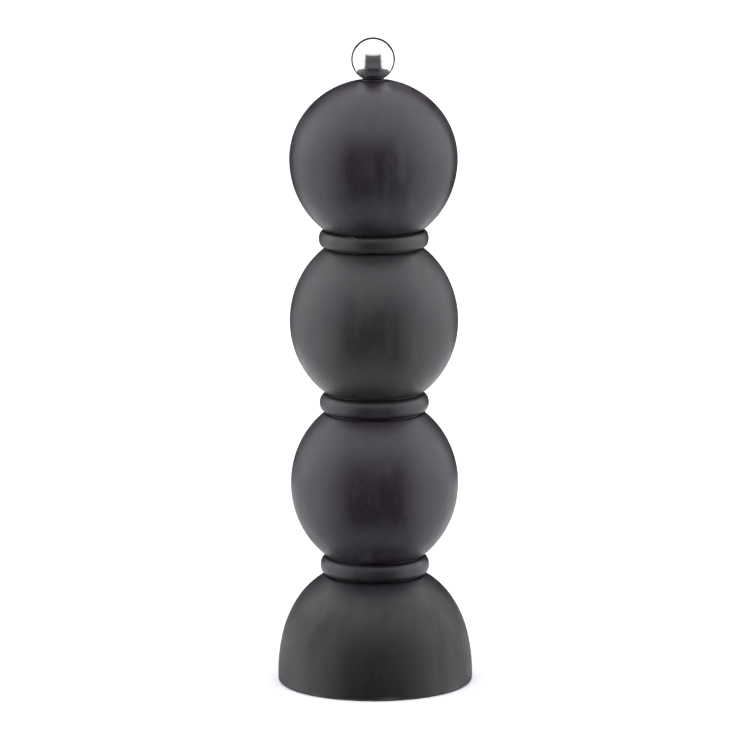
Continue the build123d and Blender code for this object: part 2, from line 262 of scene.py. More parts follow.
@dataclass(frozen=True)
class PaintedWood:
    """Matte black paint over turned wood, worn thin in places, raw inside the bores."""

    name: str
    zone: RawZone
    violet: Colour = rgb(0.0100, 0.0060, 0.0105)
    green: Colour = rgb(0.0118, 0.0140, 0.0148)
    # Painted shade: the colour that the paint is darkened to towards the foot.
    foot: Colour = rgb(0.0030, 0.0022, 0.0034)
    haze: Colour = rgb(0.0340, 0.0310, 0.0350)
    dust: Colour = rgb(0.24, 0.235, 0.23)
    wood: Colour = rgb(0.52, 0.33, 0.17)
    wood_dark: Colour = rgb(0.33, 0.18, 0.08)
    roughness: float = 0.42
    fibre_scale: Point = (900, 26)
    streak_scale: Point = (260, 5)
    cloud_scale: Point = (62, 40)
    pore_scale: Point = (2600, 60)
    tool_scale: Point = (0.5, 1900)
    growth_scale: Point = (320, 9)
    speck_scale: float = 340.0
    speck_patch: Point = (150, 130)
    tint_scale: Point = (30, 30)
    chip_scale: Point = (1100, 1100)
    chip_patch: Point = (55, 55)
    rub_scale: Point = (60, 60)
    brush_scale: Point = (500, 500)
    green_band: Point = (137 * MM, 62 * MM)
    # Heights over which the haze thins towards the foot, as painted shade.
    haze_shade_fade: Point = (26 * MM, 62 * MM)
    # Heights over which the painted shade at the foot fades in.
    foot_shade_fade: Point = (54 * MM, 26 * MM)
    rough_fade: Point = (55 * MM, 20 * MM)
    ripple_depth: float = 0.055 * MM
    brush_reach: Point = (16.6 * MM, 16.3 * MM)
    brush_wander: float = 0.9 * MM
    chip_reach: float = 1.3 * MM
    raw_up: float = 30.0 * MM

    def make(self) -> bpy.types.Material:
        """Build the material.

        Returns:
            Black paint outside, tinted and hazed by height, darkened towards the foot as painted shade, and
            bare wood inside.
        """
        s = Shader(self.name)
        fibre = s.noise(s.stretched(*self.fibre_scale), 4, 0.6)
        streak = s.noise(s.stretched(*self.streak_scale), 2, 0.5)
        cloud = s.noise(s.stretched(*self.cloud_scale), 4, 0.6)
        pore = s.noise(s.stretched(*self.pore_scale), 1, 0.4).step(0.66, 0.76)
        rings = s.noise(s.stretched(*self.tool_scale), 2, 0.5)
        cells = s.node("ShaderNodeTexVoronoi", {}, {"Vector": s.place, "Scale": self.speck_scale})
        specks = cells.step(0.10, 0.03) * s.noise(s.stretched(*self.speck_patch), 1, 0.5).step(0.64, 0.70)
        cool = s.z.band(*self.green_band)
        tint = (cool * 1.6 + s.noise(s.stretched(*self.tint_scale), 2, 0.5) - 0.9).step(0.0, 0.8)
        colour = s.mix(tint, self.violet, self.green)
        haze = cloud.step(0.42, 0.78) * (0.5 + 0.5 * streak.step(0.35, 0.65))
        # The haze is real, but thinning it towards the foot adds painted shade there.
        haze = haze * (0.15 + 0.85 * s.z.step(*self.haze_shade_fade))
        colour = s.mix(haze, colour, self.haze)
        # Painted shade: the paint is darkened towards the foot.
        colour = s.mix(s.z.step(*self.foot_shade_fade) * 0.9, colour, self.foot)
        colour = s.mix(specks * 0.35 + self._chips(s) * 0.8, colour, self.dust)
        growth = s.noise(s.stretched(*self.growth_scale), 4, 0.6).step(0.3, 0.75)
        raw_colour = s.mix(growth, self.wood, self.wood_dark)
        inside = self._bare(s)
        roughness = self.roughness + (cloud - 0.5) * 0.45 + (streak - 0.5) * 0.22 + inside * 0.25
        roughness = roughness + s.z.step(*self.rough_fade) * 0.12
        ripple = fibre * 0.5 + streak * 0.35 + rings * 0.15 - pore * 0.5
        s.set(
            Base_Color=s.mix(inside, colour, raw_colour),
            Roughness=roughness + specks * 0.2,
            Normal=s.bump(ripple, self.ripple_depth),
            Specular_IOR_Level=0.5,
        )
        return s.material

    def _chips(self, s: Shader) -> Value:
        """Mask of the paint chipped from the rims that knock or rub.

        Args:
            s: the material's shader.

        Returns:
            1 in a chip, 0 elsewhere.
        """
        chip = s.noise(s.stretched(*self.chip_scale), 1, 0.6).step(0.58, 0.64)
        patch = s.noise(s.stretched(*self.chip_patch), 1, 0.5).step(0.52, 0.60)
        seam = s.z.band(SEAM, self.chip_reach) * chip * patch
        if self.zone is RawZone.HEAD:
            return seam
        rub = s.noise(s.stretched(*self.rub_scale), 3, 0.6).step(0.45, 0.75)
        return seam + s.z.band(1.0 * MM, 0.9 * MM) * rub * 0.35

    def _bare(self, s: Shader) -> Value:
        """Mask of the bare wood.

        Args:
            s: the material's shader.

        Returns:
            1 where the wood is bare, 0 where it is painted.
        """
        edge = 0.1 * MM
        wander = s.noise(s.stretched(*self.brush_scale), 2, 0.5) - 0.5
        ragged = s.radius() + wander * self.brush_wander
        if self.zone is RawZone.HEAD:
            across = s.radius() * (1 / HEAD_RADIUS)
            up = (s.z - HEAD_MIDDLE) * (1 / self.raw_up)
            deep = (across * across + up * up).step(0.92, 0.90)
            spigot = s.z.step(SEAM + edge, SEAM - edge) * ragged.step(*self.brush_reach)
            return deep.larger(spigot)
        bore = ragged.step(*self.brush_reach)
        recess_height = s.z.step(RECESS_TOP + 0.4 * MM, RECESS_TOP + 0.2 * MM)
        recess = recess_height * s.radius().step(RECESS_RADIUS + 3 * edge, RECESS_RADIUS + edge)
        return bore.larger(recess)


@dataclass(frozen=True)
class Metal:
    """A bare metal with fine marks left by how it was worked."""

    name: str
    colour: Colour
    roughness: float
    across: float
    along: float
    depth: float
    smudge: float = 0.05

    def make(self) -> bpy.types.Material:
        """Build the material.

        Returns:
            Metal whose working marks vary its colour, roughness and relief.
        """
        s = Shader(self.name)
        marks = s.noise(s.stretched(self.across, self.along), 3, 0.6)
        smudges = s.noise(s.stretched(190, 190), 3, 0.6)
        darker = tuple(0.86 * c for c in self.colour[:3]) + (1.0,)
        s.set(
            Base_Color=s.mix(marks.step(0.35, 0.7) * 0.6, self.colour, darker),
            Metallic=1.0,
            Roughness=self.roughness + (marks - 0.5) * self.roughness + smudges.step(0.5, 0.8) * self.smudge,
            Normal=s.bump(marks, self.depth),
        )
        return s.material


@dataclass(frozen=True)
class Moulded:
    """Nylon or ceramic: one colour with a fine moulded or sintered grain."""

    name: str
    colour: Colour
    fleck: Colour
    roughness: float
    grain: float
    depth: float

    def make(self) -> bpy.types.Material:
        """Build the material.

        Returns:
            A matt solid with a fine grain.
        """
        s = Shader(self.name)
        grain = s.noise(s.stretched(self.grain, self.grain), 2, 0.5)
        patch = s.noise(s.stretched(140, 140), 2, 0.5)
        s.set(
            Base_Color=s.mix(grain.step(0.52, 0.75) * 0.6, self.colour, self.fleck),
            Roughness=self.roughness + (patch - 0.5) * 0.12,
            Normal=s.bump(grain, self.depth),
        )
        return s.material


class Finish(Enum):
    """The finishes of the mill's pieces, with the record's slot for each."""

    BODY_PAINT = ("painted_wood", PaintedWood("body_paint", RawZone.BODY))
    HEAD_PAINT = ("painted_wood", PaintedWood("head_paint", RawZone.HEAD))
    STEEL = (
        "polished_steel",
        Metal("polished_steel", rgb(0.63, 0.615, 0.60), 0.045, 500, 500, 0.004 * MM, 0.03),
    )
    SPRING_STEEL = ("spring_steel", Metal("spring_steel", rgb(0.42, 0.42, 0.43), 0.26, 900, 900, 0.02 * MM))
    ZINC = ("zinc_steel", Metal("zinc_plate", rgb(0.62, 0.64, 0.66), 0.30, 420, 420, 0.02 * MM))
    ALUMINIUM = (
        "shaft_aluminium",
        Metal("drawn_aluminium", rgb(0.76, 0.77, 0.78), 0.28, 2400, 12, 0.02 * MM),
    )
    BRASS = ("insert_brass", Metal("machined_brass", rgb(0.74, 0.55, 0.26), 0.22, 30, 3200, 0.02 * MM))
    NYLON = (
        "black_nylon",
        Moulded("black_nylon", rgb(0.022, 0.022, 0.024), rgb(0.05, 0.05, 0.053), 0.5, 1500, 0.02 * MM),
    )
    CERAMIC = (
        "ceramic_burr",
        Moulded("burr_ceramic", rgb(0.82, 0.80, 0.75), rgb(0.66, 0.63, 0.57), 0.42, 1800, 0.02 * MM),
    )

    @property
    def slot(self) -> str:
        """The record's material slot."""
        return self.value[0]

    def material(self) -> bpy.types.Material:
        """The material, built once."""
        recipe = self.value[1]
        return bpy.data.materials.get(recipe.name) or recipe.make()


# ---- mesh work ---------------------------------------------------------------------------


@dataclass
class Outline:
    """A turned outline, drawn in radius and height from one point to the next."""

    points: Loop = field(default_factory=list)

    def to(self, radius: float, height: float, steps: int = 1) -> "Outline":
        """Straight line to a point.

        Args:
            radius: the point's radius.
            height: the point's height.
            steps: number of equal stretches.

        Returns:
            This outline.
        """
        if not self.points:
            self.points.append((radius, height))
            return self
        r0, z0 = self.points[-1]
        for i in range(1, steps + 1):
            share = i / steps
            self.points.append((r0 + (radius - r0) * share, z0 + (height - z0) * share))
        return self

    def ellipse(
        self, centre: Point, across: float, up: float, start: float, end: float, steps: int
    ) -> "Outline":
        """Arc of an ellipse.

        Args:
            centre: its middle, as radius and height.
            across: half its width.
            up: half its height.
            start: first angle in radians, from the outward direction.
            end: last angle.
            steps: number of stretches.

        Returns:
            This outline.
        """
        for i in range(steps + 1):
            angle = start + (end - start) * i / steps
            self.points.append((centre[0] + across * math.cos(angle), centre[1] + up * math.sin(angle)))
        return self

    def sweep(self, heading: float, radius: float, turn: float, steps: int) -> float:
        """Arc that leaves the last point on a heading and turns left.

        Args:
            heading: direction of travel in radians.
            radius: radius of the arc.
            turn: how far it turns.
            steps: number of stretches.

        Returns:
            The heading at the end.
        """
        r0, z0 = self.points[-1]
        centre = (r0 - radius * math.sin(heading), z0 + radius * math.cos(heading))
        for i in range(1, steps + 1):
            angle = heading - math.pi / 2 + turn * i / steps
            self.points.append((centre[0] + radius * math.cos(angle), centre[1] + radius * math.sin(angle)))
        return heading + turn

    def rounded(self, size: float, steps: int = 3, sharp: float = 0.5) -> "Outline":
        """Ease the corners of the closed outline.

        Args:
            size: how far an eased corner reaches along its sides.
            steps: number of stretches in each.
            sharp: corners that turn by more than this many radians are eased.

        Returns:
            This outline.
        """
        eased: Loop = []
        count = len(self.points)
        for i, corner in enumerate(self.points):
            here = Vector(corner)
            back = Vector(self.points[i - 1]) - here
            ahead = Vector(self.points[(i + 1) % count]) - here
            if min(back.length, ahead.length) < 1e-9 or back.angle(ahead) > math.pi - sharp:
                eased.append(corner)
                continue
            reach = min(size, 0.4 * back.length, 0.4 * ahead.length)
            start, end = here + back.normalized() * reach, here + ahead.normalized() * reach
            for j in range(steps + 1):
                t = j / steps
                point = start * (1 - t) ** 2 + here * 2 * t * (1 - t) + end * t**2
                eased.append((point.x, point.y))
        self.points = eased
        return self


def piece_from(name: str, mesh: bpy.types.Mesh, sharp_degrees: float = 32.0) -> bpy.types.Object:
    """Make an object of a mesh, smooth but for its sharp edges.

    Args:
        name: the piece's name.
        mesh: its mesh.
        sharp_degrees: edges that turn by more than this stay crisp.

    Returns:
        The object.
    """
    work = bmesh.new()
    work.from_mesh(mesh)
    bmesh.ops.remove_doubles(work, verts=work.verts, dist=1e-7)
    bmesh.ops.recalc_face_normals(work, faces=work.faces)
    for face in work.faces:
        face.smooth = True
    limit = math.radians(sharp_degrees)
    for edge in work.edges:
        if len(edge.link_faces) == 2 and edge.calc_face_angle(0.0) > limit:
            edge.smooth = False
    work.to_mesh(mesh)
    work.free()
    piece = bpy.data.objects.new(name, mesh)
    bpy.context.scene.collection.objects.link(piece)
    return piece


def skin(name: str, rings: Sequence[Sequence[Place]], closed: bool) -> bpy.types.Mesh:
    """Join rings of equal count into a surface.

    Args:
        name: the mesh's name.
        rings: the rings, each a loop of points.
        closed: True joins the last ring to the first; False caps both ends.

    Returns:
        The mesh.
    """
    count = len(rings[0])
    vertices = [point for ring in rings for point in ring]
    pairs = len(rings) if closed else len(rings) - 1
    faces: list[tuple[int, ...]] = []
    for i in range(pairs):
        low, high = i * count, ((i + 1) % len(rings)) * count
        for j in range(count):
            k = (j + 1) % count
            faces.append((low + j, low + k, high + k, high + j))
    if not closed:
        faces.append(tuple(range(count)))
        faces.append(tuple((len(rings) - 1) * count + j for j in range(count)))
    mesh = bpy.data.meshes.new(name)
    mesh.from_pydata(vertices, [], faces)
    mesh.validate()
    return mesh


def turned(
    name: str,
    outline: Loop,
    segments: int,
    closed: bool = True,
    shape: Shape | None = None,
    angles: Sequence[float] | None = None,
) -> bpy.types.Object:
    """Turn an outline round the axis.

    Args:
        name: the piece's name.
        outline: radius and height of each point.
        segments: number of steps round.
        closed: whether the outline closes on itself.
        shape: gives the radius from angle, radius and height, for flutes and threads.
        angles: angles to use in place of even steps.

    Returns:
        The piece.
    """
    steps = angles or [2 * math.pi * i / segments for i in range(segments)]
    rings = []
    for radius, height in outline:
        ring = []
        for angle in steps:
            r = shape(angle, radius, height) if shape else radius
            ring.append((r * math.cos(angle), r * math.sin(angle), height))
        rings.append(ring)
    return piece_from(name, skin(name, rings, closed))


def circle(radius: float, count: int = 96, centre: Point = (0.0, 0.0), hole: bool = False) -> Loop:
    """A round loop.

    Args:
        radius: its radius.
        count: number of points.
        centre: its middle.
        hole: winds it the other way.

    Returns:
        The loop.
    """
    turn = -1 if hole else 1
    angles = [turn * 2 * math.pi * i / count for i in range(count)]
    return [(centre[0] + radius * math.cos(a), centre[1] + radius * math.sin(a)) for a in angles]


def arc(radius: float, start: float, end: float, count: int = 24) -> Loop:
    """Points of an arc round the axis.

    Args:
        radius: its radius.
        start: first angle in degrees.
        end: last angle in degrees.
        count: number of stretches.

    Returns:
        The points, both ends included.
    """
    angles = [math.radians(start + (end - start) * i / count) for i in range(count + 1)]
    return [(radius * math.cos(a), radius * math.sin(a)) for a in angles]


def inset(loop: Loop, distance: float) -> Loop:
    """Move a loop towards the material on its left.

    Args:
        loop: the loop, counter-clockwise outside and clockwise round a hole.
        distance: how far it moves.

    Returns:
        The moved loop.
    """
    moved: Loop = []
    for i, corner in enumerate(loop):
        back = (Vector(corner) - Vector(loop[i - 1])).normalized()
        ahead = (Vector(loop[(i + 1) % len(loop)]) - Vector(corner)).normalized()
        left = Vector((-back.y - ahead.y, back.x + ahead.x)) / (1.0 + back.dot(ahead))
        moved.append((corner[0] + left.x * distance, corner[1] + left.y * distance))
    return moved


def plate(name: str, loops: Sequence[Loop], bottom: float, top: float, edge: float) -> bpy.types.Object:
    """A flat piece with eased edges.

    Args:
        name: the piece's name.
        loops: its outline, then its holes wound the other way.
        bottom: height of its lower face.
        top: height of its upper face.
        edge: how much its edges are eased.

    Returns:
        The piece.
    """
    work = bmesh.new()
    rims: list[list[bmesh.types.BMEdge]] = [[], []]
    for loop in loops:
        inner = inset(loop, edge)
        levels = [(inner, bottom), (loop, bottom + edge), (loop, top - edge), (inner, top)]
        rows = [[work.verts.new((x, y, z)) for x, y in ring] for ring, z in levels]
        for low, high in zip(rows, rows[1:]):
            for j in range(len(loop)):
                k = (j + 1) % len(loop)
                work.faces.new((low[j], low[k], high[k], high[j]))
        for rim, row in zip(rims, (rows[0], rows[-1])):
            rim += [work.edges.get((row[j - 1], row[j])) for j in range(len(loop))]
    for rim in rims:
        bmesh.ops.triangle_fill(work, use_beauty=True, use_dissolve=False, edges=rim)
    mesh = bpy.data.meshes.new(name)
    work.to_mesh(mesh)
    work.free()
    return piece_from(name, mesh)


def cut(piece: bpy.types.Object, cutters: Sequence[bpy.types.Object]) -> bpy.types.Object:
    """Take cutters away from a piece and delete them.

    Args:
        piece: the piece.
        cutters: closed meshes to subtract.

    Returns:
        The piece.
    """
    for cutter in cutters:
        step = piece.modifiers.new("cut", "BOOLEAN")
        step.operation = "DIFFERENCE"
        step.solver = "EXACT"
        step.object = cutter
    bpy.context.view_layer.update()
    seen = piece.evaluated_get(bpy.context.evaluated_depsgraph_get())
    mesh = bpy.data.meshes.new_from_object(seen)
    name = piece.name
    for old in (piece, *cutters):
        bpy.data.objects.remove(old)
    return piece_from(name, mesh)


def spread(
    piece: bpy.types.Object, radius: float, count: int, first: float, twist: float = 1.3
) -> bpy.types.Object:
    """Repeat a piece that stands on the axis round a circle, as one mesh.

    Args:
        piece: the piece.
        radius: radius of the circle.
        count: how many copies.
        first: angle of the first copy in degrees.
        twist: how far each copy is turned about itself from the one before, in radians.

    Returns:
        The joined piece.
    """
    work = bmesh.new()
    for i in range(count):
        angle = math.radians(first + 360 * i / count)
        fresh = piece.data.copy()
        turn = Matrix.Rotation(twist * i, 4, "Z")
        fresh.transform(Matrix.Translation((radius * math.cos(angle), radius * math.sin(angle), 0.0)) @ turn)
        work.from_mesh(fresh)
        bpy.data.meshes.remove(fresh)
    work.to_mesh(piece.data)
    work.free()
    return piece


def thread(pitch: float, depth: float, low: float, high: float) -> Shape:
    """Shape of a right-handed thread for turned().

    Args:
        pitch: rise of one turn.
        depth: how deep it is cut; negative for a thread inside a hole.
        low: height where it starts.
        high: height where it ends.

    Returns:
        The shape.
    """

    def shape(angle: float, radius: float, height: float) -> float:
        """Radius at a point of the thread.

        Args:
            angle: angle round the axis.
            radius: the outline's radius there.
            height: height of the point.

        Returns:
            The radius with the thread cut in.
        """
        if not low <= height <= high:
            return radius
        phase = (height / pitch - angle / (2 * math.pi)) % 1.0
        valley = 1.0 - abs(2.0 * phase - 1.0)
        runout = min(1.0, (height - low) / pitch, (high - height) / pitch)
        return radius - depth * max(0.0, min(1.0, 1.25 * valley - 0.125)) * runout

    return shape


def tooth(phase: float, steep: float = 0.8) -> float:
    """Depth of a slanted tooth gap.

    Args:
        phase: place across the teeth, one tooth to each whole number.
        steep: share of the tooth taken by its long flank.

    Returns:
        0 at the crest to 1 at the root.
    """
    phase %= 1.0
    if phase < steep:
        return phase / steep
    return (1.0 - phase) / (1.0 - steep)


def show(piece: bpy.types.Object, finish: Finish, body: Body, *nodes: str) -> bpy.types.Object:
    """Dress a piece, let it ride and let it stand for CAD nodes.

    Args:
        piece: the piece.
        finish: its finish.
        body: the body it moves with.
        nodes: CAD nodes it replaces.

    Returns:
        The piece.
    """
    piece.data.materials.clear()
    piece.data.materials.append(finish.material())
    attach(piece, body.value)
    if nodes:
        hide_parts(*nodes)
    LOG.info("%s: %s on %s", piece.name, finish.name.lower(), body.value)
    return piece


def carry(node: str, finish: Finish) -> None:
    """Give a CAD node that is shown as it is a finish.

    Args:
        node: the node's name.
        finish: its finish.
    """
    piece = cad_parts[node]
    piece.data.materials.clear()
    piece.data.materials.append(finish.material())
    LOG.info("%s: %s, as in CAD", node, finish.name.lower())


# ---- the turned wood -----------------------------------------------------------------------


@dataclass
class Ball:
    """A turned ball: its widest level and how far it would reach above and below."""

    middle: float
    radius: float
    drop: float
    rise: float

    def draw(self, outline: Outline, low: float, high: float, steps: int = 44) -> None:
        """Add the ball's outline.

        Args:
            outline: the outline it is added to.
            low: height where it starts.
            high: height where it ends.
            steps: number of stretches in each half.
        """
        foot = math.asin((low - self.middle) / self.drop)
        crown = math.asin((high - self.middle) / self.rise)
        outline.ellipse((0.0, self.middle), self.radius, self.drop, foot, 0.0, steps)
        outline.points.pop()
        outline.ellipse((0.0, self.middle), self.radius, self.rise, 0.0, crown, steps)


@dataclass
class Collar:
    """A half-round bead between two narrow grooves."""

    middle: float
    half_height: float
    bulge: float
    radius: float = 20.2 * MM

    @property
    def low(self) -> float:
        """Height of its lower end."""
        return self.middle - self.half_height

    @property
    def high(self) -> float:
        """Height of its upper end."""
        return self.middle + self.half_height

    def draw(self, outline: Outline) -> None:
        """Add the bead's outline from its lower end to its upper end."""
        centre = (self.radius - self.bulge, self.middle)
        outline.ellipse(centre, self.bulge, self.half_height, -math.pi / 2, math.pi / 2, 28)


@dataclass
class TurnedBody:
    """The one-piece wooden body: bell foot, two balls, three collars."""

    neck: Collar = field(default_factory=lambda: Collar(166.04 * MM, 2.95 * MM, 1.6 * MM))
    waist: Collar = field(default_factory=lambda: Collar(104.9 * MM, 3.55 * MM, 2.7 * MM))
    foot: Collar = field(default_factory=lambda: Collar(43.8 * MM, 3.35 * MM, 2.2 * MM))
    upper: Ball = field(default_factory=lambda: Ball(135.4 * MM, 31.04 * MM, 32.7 * MM, 33.3 * MM))
    lower: Ball = field(default_factory=lambda: Ball(74.55 * MM, 31.0 * MM, 33.2 * MM, 33.0 * MM))
    bell_foot: float = 34.9 * MM
    bell_arcs: tuple[Point, ...] = ((1.23, 88.43), (64.1, 14.56), (41.12, 19.16), (29.81, 28.1))
    groove_radius: float = 17.4 * MM
    groove_width: float = 0.45 * MM
    chamber: float = 13.5 * MM
    grinder_bore: float = 18.0 * MM
    grinder_top: float = 34.0 * MM
    recess: float = RECESS_RADIUS
    recess_top: float = RECESS_TOP
    mouth_ease: float = 0.6 * MM
    segments: int = 240

    def outline(self) -> Loop:
        """Draw the section of the wood.

        Returns:
            The closed outline, from the foot up outside and down inside.
        """
        line = Outline().to(self.bell_foot, 0.0)
        heading = 0.0
        for radius, turn in self.bell_arcs:
            steps = max(6, round(turn * 0.9)) if radius > 2 else 8
            heading = line.sweep(heading, radius * MM, math.radians(turn), steps)
        self._groove(line, self.foot.low)
        self.foot.draw(line)
        self._groove(line, self.foot.high + self.groove_width)
        self.lower.draw(line, self.foot.high + self.groove_width, self.waist.low - self.groove_width)
        self._groove(line, self.waist.low)
        self.waist.draw(line)
        self._groove(line, self.waist.high + self.groove_width)
        self.upper.draw(line, self.waist.high + self.groove_width, self.neck.low - self.groove_width)
        self._groove(line, self.neck.low)
        self.neck.draw(line)
        inside = Outline().to(self.chamber, self.neck.high).to(self.chamber, self.grinder_top, 40)
        inside.to(self.grinder_bore, self.grinder_top).to(self.grinder_bore, self.recess_top, 8)
        ease = self.mouth_ease
        inside.to(self.recess, self.recess_top).to(self.recess, ease, 4).to(self.recess + ease, 0.0)
        line.points += inside.points
        return line.rounded(0.14 * MM).points

    def _groove(self, line: Outline, high: float) -> None:
        """Cut in to the groove's floor and come out at a height."""
        line.to(self.groove_radius, line.points[-1][1]).to(self.groove_radius, high)

    def build(self) -> None:
        """Make the body."""
        wood = turned("turned_body", self.outline(), self.segments)
        show(wood, Finish.BODY_PAINT, Body.BODY, "body")


@dataclass
class TurnedHead:
    """The wooden head with its spigot and stepped bore."""

    ball: Ball = field(default_factory=lambda: Ball(HEAD_MIDDLE, HEAD_RADIUS, 32.3 * MM, 29.45 * MM))
    shoulder: float = 169.44 * MM
    top: float = 224.2 * MM
    spigot: float = 12.1 * MM
    spigot_bottom: float = 158.5 * MM
    bore: float = 4.7 * MM
    bore_top: float = 219.0 * MM
    thread_hole: float = 2.9 * MM
    segments: int = 240

    def outline(self) -> Loop:
        """Draw the section of the wood.

        Returns:
            The closed outline, up outside and down the bore.
        """
        line = Outline()
        self.ball.draw(line, self.shoulder, self.top, 48)
        line.to(self.thread_hole, self.top, 3).to(self.thread_hole, self.bore_top, 3)
        line.to(self.bore, self.bore_top).to(self.bore, self.spigot_bottom, 20)
        line.to(self.spigot, self.spigot_bottom).to(self.spigot, self.shoulder, 5)
        return line.rounded(0.3 * MM).points

    def build(self) -> None:
        """Make the head."""
        wood = turned("turned_head", self.outline(), self.segments)
        show(wood, Finish.HEAD_PAINT, Body.HEAD, "head")


@dataclass
class WoodScrews:
    """A set of equal wood screws round a circle, their heads facing down."""

    name: str
    node: str
    body: Body
    head_bottom: float
    head_radius: float
    head_height: float
    countersunk: bool
    tip: float
    circle_radius: float
    shank: float = 1.25 * MM
    pitch: float = 1.0 * MM
    thread_depth: float = 0.38 * MM
    point: float = 1.6 * MM
    dome: float = 0.7 * MM
    cross: Point = (1.25 * MM, 0.27 * MM)
    cross_depth: float = 0.8 * MM
    cross_taper: float = 0.6

    def build(self) -> None:
        """Make the screws."""
        low, high = self.head_bottom, self.head_bottom + self.head_height
        line = Outline().to(0.3 * MM, low)
        if self.countersunk:
            line.to(self.head_radius - 0.1 * MM, low).to(self.head_radius, low + 0.1 * MM)
            line.to(self.shank, high)
        else:
            centre = (self.head_radius - self.dome, low + self.dome)
            line.to(centre[0], low)
            line.ellipse(centre, self.dome, self.dome, -math.pi / 2, 0.0, 6).to(self.head_radius, high)
            line.to(self.shank, high)
        line.to(self.shank, self.tip - self.point, 90).to(0.15 * MM, self.tip, 12)
        shape = thread(self.pitch, self.thread_depth, high + 0.6 * MM, self.tip)
        screw = turned(self.name, line.points, 36, closed=False, shape=shape)
        recess = [self._bar(*self.cross), self._bar(*self.cross[::-1])]
        screw = spread(cut(screw, recess), self.circle_radius, 3, 90.0)
        show(screw, Finish.ZINC, self.body, self.node)

    def _bar(self, x: float, y: float) -> bpy.types.Object:
        """One bar of the cross recess, narrowing into the head.

        Args:
            x: half its length along x at the mouth.
            y: half its length along y at the mouth.

        Returns:
            The cutter.
        """
        low, high = self.head_bottom - 0.1 * MM, self.head_bottom + self.cross_depth
        corners = ((x, y), (-x, y), (-x, -y), (x, -y))
        mouth = [(i, j, low) for i, j in corners]
        floor = [(i * self.cross_taper, j * self.cross_taper, high) for i, j in corners]
        return piece_from("recess", skin("recess", [mouth, floor], closed=False))


@dataclass
class HeadFittings:
    """Swivel ring, drive plate and its screws, under the head."""

    ring_bottom: float = 160.0 * MM
    ring_inner: float = 12.2 * MM
    ring_outer: float = 13.4 * MM
    ring_flange: float = 17.4 * MM
    seam_low: float = 169.02 * MM
    seam_high: float = 169.41 * MM
    plate_bottom: float = 156.95 * MM
    plate_top: float = 158.45 * MM
    plate_radius: float = 12.9 * MM
    square: float = 6.2 * MM
    screw_circle: float = 8.6 * MM
    screw_hole: float = 1.3 * MM

    def build(self) -> None:
        """Make the fittings."""
        line = Outline().to(self.ring_inner, self.ring_bottom).to(self.ring_outer, self.ring_bottom)
        line.to(self.ring_outer, self.seam_low, 4).to(self.ring_flange, self.seam_low)
        line.to(self.ring_flange, self.seam_high).to(self.ring_inner, self.seam_high)
        ring = turned("swivel_ring", line.rounded(0.15 * MM).points, 144)
        show(ring, Finish.NYLON, Body.RING, "head_ring")
        half = self.square / 2
        hole = [(-half, -half), (-half, half), (half, half), (half, -half)]
        holes = [circle(self.screw_hole, 32, self._screw_place(i), hole=True) for i in range(3)]
        loops = [circle(self.plate_radius, 144), hole, *holes]
        disc = plate("drive_disc", loops, self.plate_bottom, self.plate_top, 0.12 * MM)
        show(disc, Finish.ZINC, Body.HEAD, "drive_plate")
        WoodScrews(
            name="drive_disc_screws",
            node="plate_screws",
            body=Body.HEAD,
            head_bottom=155.55 * MM,
            head_radius=2.1 * MM,
            head_height=1.35 * MM,
            countersunk=False,
            tip=166.3 * MM,
            circle_radius=self.screw_circle,
        ).build()

    def _screw_place(self, index: int) -> Point:
        """Where a screw of the drive plate stands."""
        angle = math.radians(90 + 120 * index)
        return (self.screw_circle * math.cos(angle), self.screw_circle * math.sin(angle))


@dataclass
class Shaft:
    """Square drawn rod, turned round at the foot and threaded at the top."""

    half: float = 3.0 * MM
    corner: float = 4.1 * MM
    round_radius: float = 2.5 * MM
    bottom: float = 8.2 * MM
    square_bottom: float = 11.6 * MM
    square_top: float = 215.0 * MM
    top: float = 232.3 * MM
    groove: Point = (9.65 * MM, 10.45 * MM)
    groove_radius: float = 1.95 * MM
    pitch: float = 0.8 * MM
    thread_depth: float = 0.42 * MM
    ease: float = 0.4 * MM

    def build(self) -> None:
        """Make the rod."""
        ease = self.ease
        line = Outline().to(self.round_radius - ease, self.bottom).to(self.round_radius, self.bottom + ease)
        line.to(self.round_radius, self.groove[0]).to(self.groove_radius, self.groove[0])
        line.to(self.groove_radius, self.groove[1]).to(self.round_radius, self.groove[1])
        line.to(self.round_radius, self.square_bottom).to(self.corner - ease / 2, self.square_bottom)
        line.to(self.corner, self.square_bottom + ease / 2).to(self.corner, self.square_top - ease / 2, 12)
        line.to(self.corner - ease / 2, self.square_top).to(self.round_radius, self.square_top)
        line.to(self.round_radius, self.top - ease, 170).to(self.round_radius - ease, self.top)
        rod = turned("drive_rod", line.points, 0, closed=False, shape=self._shape, angles=self._angles())
        show(rod, Finish.ALUMINIUM, Body.SHAFT, "shaft")

    def _angles(self) -> list[float]:
        """Divide the turn so that the ends of every flat are met.

        Returns:
            The angles in radians.
        """
        reach = math.acos(self.half / self.corner)
        steps = 9
        flat = [reach * (2 * i / steps - 1) for i in range(steps + 1)]
        return [math.pi / 2 * side + angle for side in range(4) for angle in (*flat, math.pi / 4)]

    def _shape(self, angle: float, radius: float, height: float) -> float:
        """Square where the rod is thick, threaded at the top.

        Args:
            angle: angle round the axis.
            radius: the outline's radius there.
            height: height of the point.

        Returns:
            The radius with the flats or the thread cut in.
        """
        if radius > self.round_radius + 0.2 * MM:
            flat = self.half / max(abs(math.cos(angle)), abs(math.sin(angle)))
            return min(flat, radius)
        shape = thread(self.pitch, self.thread_depth, self.square_top + 0.6 * MM, self.top + 1.0 * MM)
        return shape(angle, radius, height)


